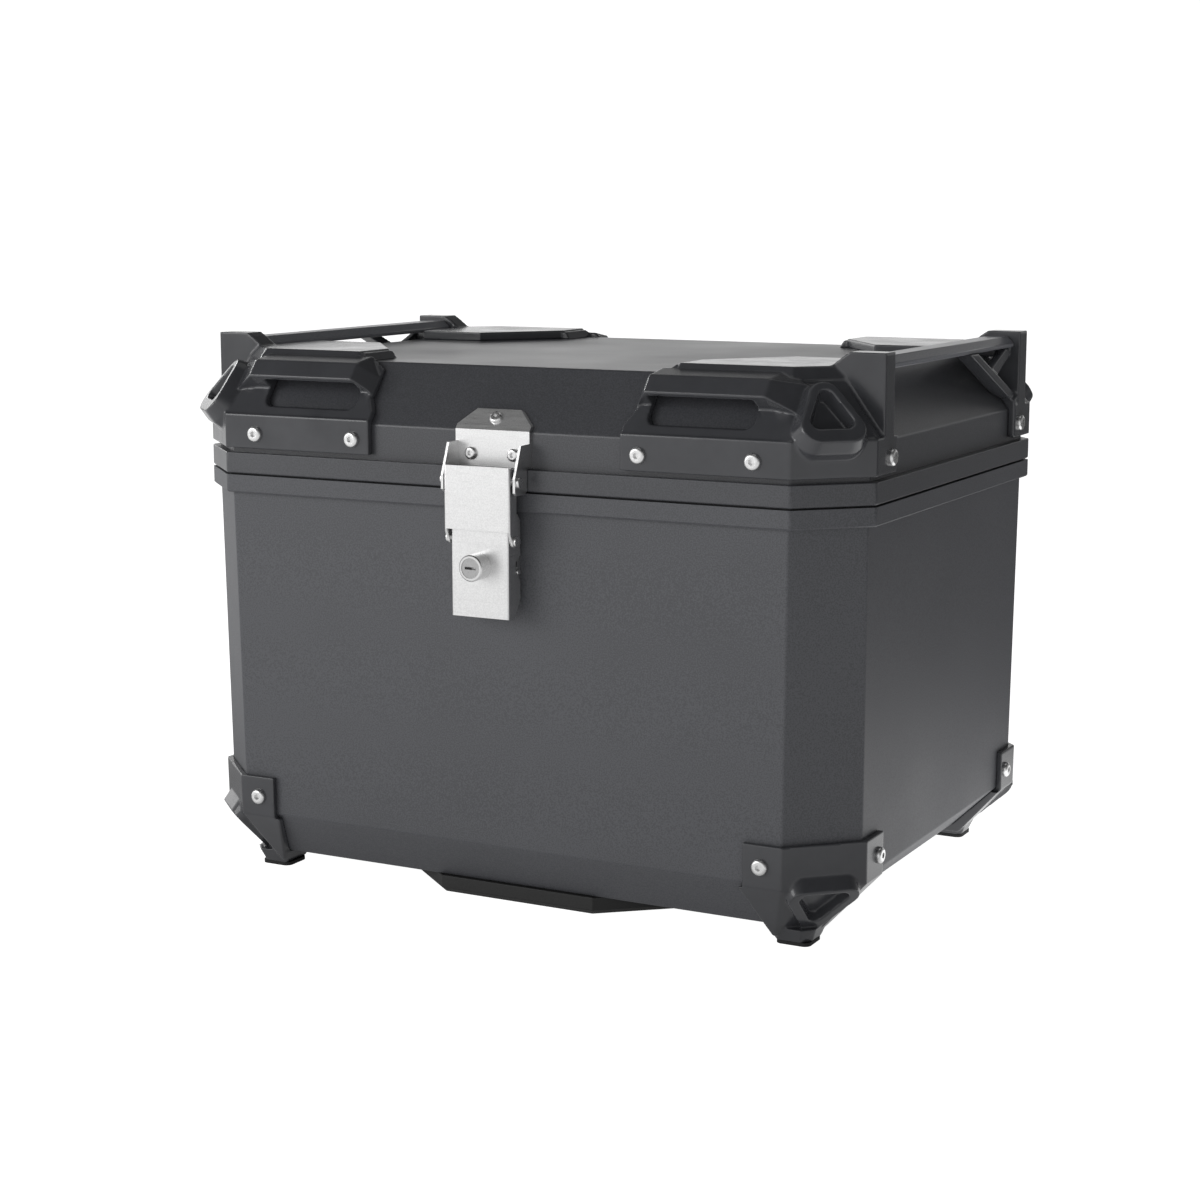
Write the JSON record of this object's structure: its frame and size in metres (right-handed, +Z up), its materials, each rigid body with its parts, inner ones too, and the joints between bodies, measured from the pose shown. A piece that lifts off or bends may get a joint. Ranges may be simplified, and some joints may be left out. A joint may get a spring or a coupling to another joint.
{
  "type": "motorcycle top case",
  "caption": "Octagonal coated-aluminium motorcycle top case with a hinged lid, plastic corner guards, side rails and a keyed over-centre latch.",
  "frame": {"origin": "middle of the underside of the mounting plate, on the plane that the feet stand on", "axes": "+Z up, -Y towards the latch side, +X to the right of someone facing the latch"},
  "size_m": [0.4332, 0.3607, 0.3233],
  "materials": {
    "coated_aluminium": "fine-textured dark grey powder coat",
    "guard_plastic": "semi-gloss moulded black",
    "rail_coat": "satin dark grey coat",
    "latch_steel": "satin stainless sheet",
    "fastener_steel": "bright zinc plated",
    "lock_chrome": "plated die casting",
    "black_steel": "black coated steel",
    "plate_plastic": "fine-grained black",
    "seal_rubber": "soft matt black",
    "mat_foam": "matt dark grey foam"
  },
  "bodies": {
    "case": {"case_shell": "coated_aluminium", "case_rim": "coated_aluminium", "floor_mat": "mat_foam", "mount_plate": "plate_plastic", "mount_plate_screws": "fastener_steel", "mount_plate_nuts": "fastener_steel", "lower_guard_front_left": "guard_plastic", "lower_guard_front_right": "guard_plastic", "lower_guard_rear_left": "guard_plastic", "lower_guard_rear_right": "guard_plastic", "lower_guard_screws": "fastener_steel", "lower_guard_nuts": "fastener_steel", "foot_pads": "seal_rubber", "latch_base": "latch_steel", "latch_base_rivets": "fastener_steel", "lever_pivot_pin": "fastener_steel", "hinge_lower_leaf_left": "black_steel", "hinge_lower_leaf_right": "black_steel", "hinge_pin_left": "black_steel", "hinge_pin_right": "black_steel", "hinge_lower_rivets": "black_steel"},
    "lid": {"lid_shell": "coated_aluminium", "lid_rim": "coated_aluminium", "lid_seal": "seal_rubber", "lid_guard_front_left": "guard_plastic", "lid_guard_front_right": "guard_plastic", "lid_guard_rear_left": "guard_plastic", "lid_guard_rear_right": "guard_plastic", "lid_guard_screws": "fastener_steel", "lid_guard_nuts": "fastener_steel", "side_rail_left": "rail_coat", "side_rail_right": "rail_coat", "rail_screws": "fastener_steel", "strike_plate": "latch_steel", "strike_pin": "fastener_steel", "strike_plate_screws": "fastener_steel", "strike_plate_nuts": "fastener_steel", "hinge_upper_leaf_left": "black_steel", "hinge_upper_leaf_right": "black_steel", "hinge_upper_rivets": "black_steel"},
    "latch_lever": {"latch_lever": "latch_steel", "lock_barrel": "lock_chrome", "lock_nut": "fastener_steel", "link_pivot_pins": "fastener_steel"},
    "latch_link": {"latch_link": "latch_steel"},
    "lock_plug": {"lock_plug": "lock_chrome", "lock_cam": "fastener_steel"}
  },
  "joints": [
    {"name": "lid_hinge", "type": "hinge", "parent": "case", "child": "lid", "pos_m": [0, 0.1698, 0.2437], "axis": [-1, 0, 0], "range_deg": [0, 95]},
    {"name": "latch_turn", "type": "hinge", "parent": "case", "child": "latch_lever", "pos_m": [0, -0.1746, 0.2323], "axis": [-1, 0, 0], "range_deg": [0, 95]},
    {"name": "link_turn", "type": "hinge", "parent": "latch_lever", "child": "latch_link", "pos_m": [0, -0.1733, 0.2178], "axis": [-1, 0, 0], "range_deg": [-85.5, 0]},
    {"name": "key_turn", "type": "hinge", "parent": "latch_lever", "child": "lock_plug", "pos_m": [0, -0.177, 0.2033], "axis": [0, 1, 0], "range_deg": [0, 90]}
  ],
  "couplings": [
    {"joint": "link_turn", "follows": "latch_turn", "ratio": -0.9}
  ]
}
